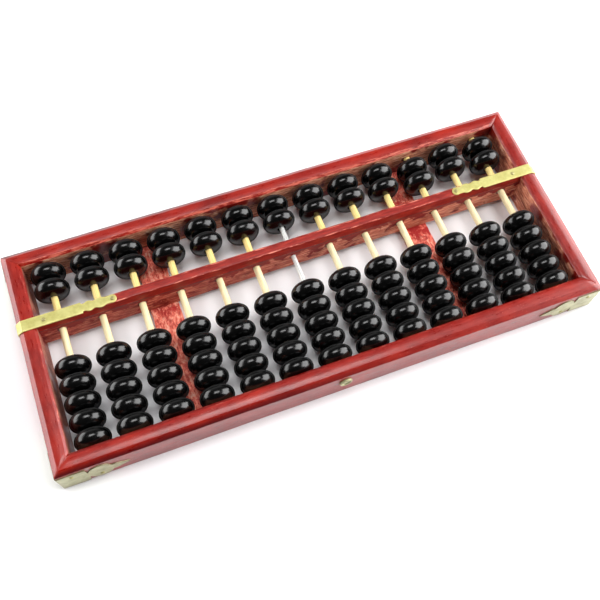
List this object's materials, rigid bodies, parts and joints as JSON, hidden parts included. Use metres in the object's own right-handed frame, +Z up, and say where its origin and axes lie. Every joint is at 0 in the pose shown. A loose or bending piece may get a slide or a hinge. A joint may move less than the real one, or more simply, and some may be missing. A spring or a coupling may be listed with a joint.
{
  "type": "abacus",
  "caption": "Bead-frame abacus: a shallow red wooden frame with a crossbar, pale rods and glossy black beads that slide along them for counting.",
  "frame": {"origin": "centre of the frame's underside, on the surface that it lies on", "axes": "+X along the length to the right, +Y from the front rail (five-bead deck) to the back rail (two-bead deck), +Z up"},
  "size_m": [0.267, 0.1132, 0.0215],
  "materials": {
    "lacquered_rail": "gloss red lacquer on wood, worn at the edges",
    "raw_slat": "thin red stain on rough wood",
    "bamboo": "smooth pale bamboo",
    "steel_rod": "drawn steel",
    "brass": "thin stamped sheet, slightly tarnished",
    "bead": "polished black"
  },
  "bodies": {
    "frame": {"front_rail": "lacquered_rail", "back_rail": "lacquered_rail", "left_rail": "lacquered_rail", "right_rail": "lacquered_rail", "crossbar": "lacquered_rail", "left_slat": "raw_slat", "right_slat": "raw_slat", "left_bamboo_rods": "bamboo", "right_bamboo_rods": "bamboo", "tie_rod": "steel_rod", "tie_rod_front_head": "brass", "tie_rod_back_nut": "brass", "left_crossbar_strap": "brass", "right_crossbar_strap": "brass", "front_left_bracket": "brass", "front_right_bracket": "brass", "back_left_bracket": "brass", "back_right_bracket": "brass", "strap_nails": "brass", "bracket_nails": "brass"},
    "lower_stack_01": {"lower_beads_01": "bead"},
    "upper_pair_01": {"upper_far_bead_01": "bead", "upper_near_bead_01": "bead"},
    "lower_stack_02": {"lower_beads_02": "bead"},
    "upper_pair_02": {"upper_far_bead_02": "bead", "upper_near_bead_02": "bead"},
    "lower_stack_03": {"lower_beads_03": "bead"},
    "upper_pair_03": {"upper_far_bead_03": "bead", "upper_near_bead_03": "bead"},
    "lower_stack_04": {"lower_beads_04": "bead"},
    "upper_pair_04": {"upper_far_bead_04": "bead", "upper_near_bead_04": "bead"},
    "lower_stack_05": {"lower_beads_05": "bead"},
    "upper_pair_05": {"upper_far_bead_05": "bead", "upper_near_bead_05": "bead"},
    "lower_stack_06": {"lower_beads_06": "bead"},
    "upper_pair_06": {"upper_far_bead_06": "bead", "upper_near_bead_06": "bead"},
    "lower_stack_07": {"lower_beads_07": "bead"},
    "upper_pair_07": {"upper_far_bead_07": "bead", "upper_near_bead_07": "bead"},
    "lower_stack_08": {"lower_beads_08": "bead"},
    "upper_pair_08": {"upper_far_bead_08": "bead", "upper_near_bead_08": "bead"},
    "lower_stack_09": {"lower_beads_09": "bead"},
    "upper_pair_09": {"upper_far_bead_09": "bead", "upper_near_bead_09": "bead"},
    "lower_stack_10": {"lower_beads_10": "bead"},
    "upper_pair_10": {"upper_far_bead_10": "bead", "upper_near_bead_10": "bead"},
    "lower_stack_11": {"lower_beads_11": "bead"},
    "upper_pair_11": {"upper_far_bead_11": "bead", "upper_near_bead_11": "bead"},
    "lower_stack_12": {"lower_beads_12": "bead"},
    "upper_pair_12": {"upper_far_bead_12": "bead", "upper_near_bead_12": "bead"},
    "lower_stack_13": {"lower_beads_13": "bead"},
    "upper_pair_13": {"upper_far_bead_13": "bead", "upper_near_bead_13": "bead"}
  },
  "joints": [
    {"name": "lower_slide_01", "type": "slide", "parent": "frame", "child": "lower_stack_01", "axis": [0, 1, 0], "range_m": [0, 0.0156]},
    {"name": "upper_slide_01", "type": "slide", "parent": "frame", "child": "upper_pair_01", "axis": [0, -1, 0], "range_m": [0, 0.01035]},
    {"name": "lower_slide_02", "type": "slide", "parent": "frame", "child": "lower_stack_02", "axis": [0, 1, 0], "range_m": [0, 0.0156]},
    {"name": "upper_slide_02", "type": "slide", "parent": "frame", "child": "upper_pair_02", "axis": [0, -1, 0], "range_m": [0, 0.01035]},
    {"name": "lower_slide_03", "type": "slide", "parent": "frame", "child": "lower_stack_03", "axis": [0, 1, 0], "range_m": [0, 0.0156]},
    {"name": "upper_slide_03", "type": "slide", "parent": "frame", "child": "upper_pair_03", "axis": [0, -1, 0], "range_m": [0, 0.01035]},
    {"name": "lower_slide_04", "type": "slide", "parent": "frame", "child": "lower_stack_04", "axis": [0, 1, 0], "range_m": [0, 0.0156]},
    {"name": "upper_slide_04", "type": "slide", "parent": "frame", "child": "upper_pair_04", "axis": [0, -1, 0], "range_m": [0, 0.01035]},
    {"name": "lower_slide_05", "type": "slide", "parent": "frame", "child": "lower_stack_05", "axis": [0, 1, 0], "range_m": [0, 0.0156]},
    {"name": "upper_slide_05", "type": "slide", "parent": "frame", "child": "upper_pair_05", "axis": [0, -1, 0], "range_m": [0, 0.01035]},
    {"name": "lower_slide_06", "type": "slide", "parent": "frame", "child": "lower_stack_06", "axis": [0, 1, 0], "range_m": [0, 0.0156]},
    {"name": "upper_slide_06", "type": "slide", "parent": "frame", "child": "upper_pair_06", "axis": [0, -1, 0], "range_m": [0, 0.01035]},
    {"name": "lower_slide_07", "type": "slide", "parent": "frame", "child": "lower_stack_07", "axis": [0, 1, 0], "range_m": [0, 0.0156]},
    {"name": "upper_slide_07", "type": "slide", "parent": "frame", "child": "upper_pair_07", "axis": [0, -1, 0], "range_m": [0, 0.01035]},
    {"name": "lower_slide_08", "type": "slide", "parent": "frame", "child": "lower_stack_08", "axis": [0, 1, 0], "range_m": [0, 0.0156]},
    {"name": "upper_slide_08", "type": "slide", "parent": "frame", "child": "upper_pair_08", "axis": [0, -1, 0], "range_m": [0, 0.01035]},
    {"name": "lower_slide_09", "type": "slide", "parent": "frame", "child": "lower_stack_09", "axis": [0, 1, 0], "range_m": [0, 0.0156]},
    {"name": "upper_slide_09", "type": "slide", "parent": "frame", "child": "upper_pair_09", "axis": [0, -1, 0], "range_m": [0, 0.01035]},
    {"name": "lower_slide_10", "type": "slide", "parent": "frame", "child": "lower_stack_10", "axis": [0, 1, 0], "range_m": [0, 0.0156]},
    {"name": "upper_slide_10", "type": "slide", "parent": "frame", "child": "upper_pair_10", "axis": [0, -1, 0], "range_m": [0, 0.01035]},
    {"name": "lower_slide_11", "type": "slide", "parent": "frame", "child": "lower_stack_11", "axis": [0, 1, 0], "range_m": [0, 0.0156]},
    {"name": "upper_slide_11", "type": "slide", "parent": "frame", "child": "upper_pair_11", "axis": [0, -1, 0], "range_m": [-0.00245, 0.0079]},
    {"name": "lower_slide_12", "type": "slide", "parent": "frame", "child": "lower_stack_12", "axis": [0, 1, 0], "range_m": [0, 0.0156]},
    {"name": "upper_slide_12", "type": "slide", "parent": "frame", "child": "upper_pair_12", "axis": [0, -1, 0], "range_m": [0, 0.01035]},
    {"name": "lower_slide_13", "type": "slide", "parent": "frame", "child": "lower_stack_13", "axis": [0, 1, 0], "range_m": [0, 0.0156]},
    {"name": "upper_slide_13", "type": "slide", "parent": "frame", "child": "upper_pair_13", "axis": [0, -1, 0], "range_m": [-0.00205, 0.0083]}
  ]
}
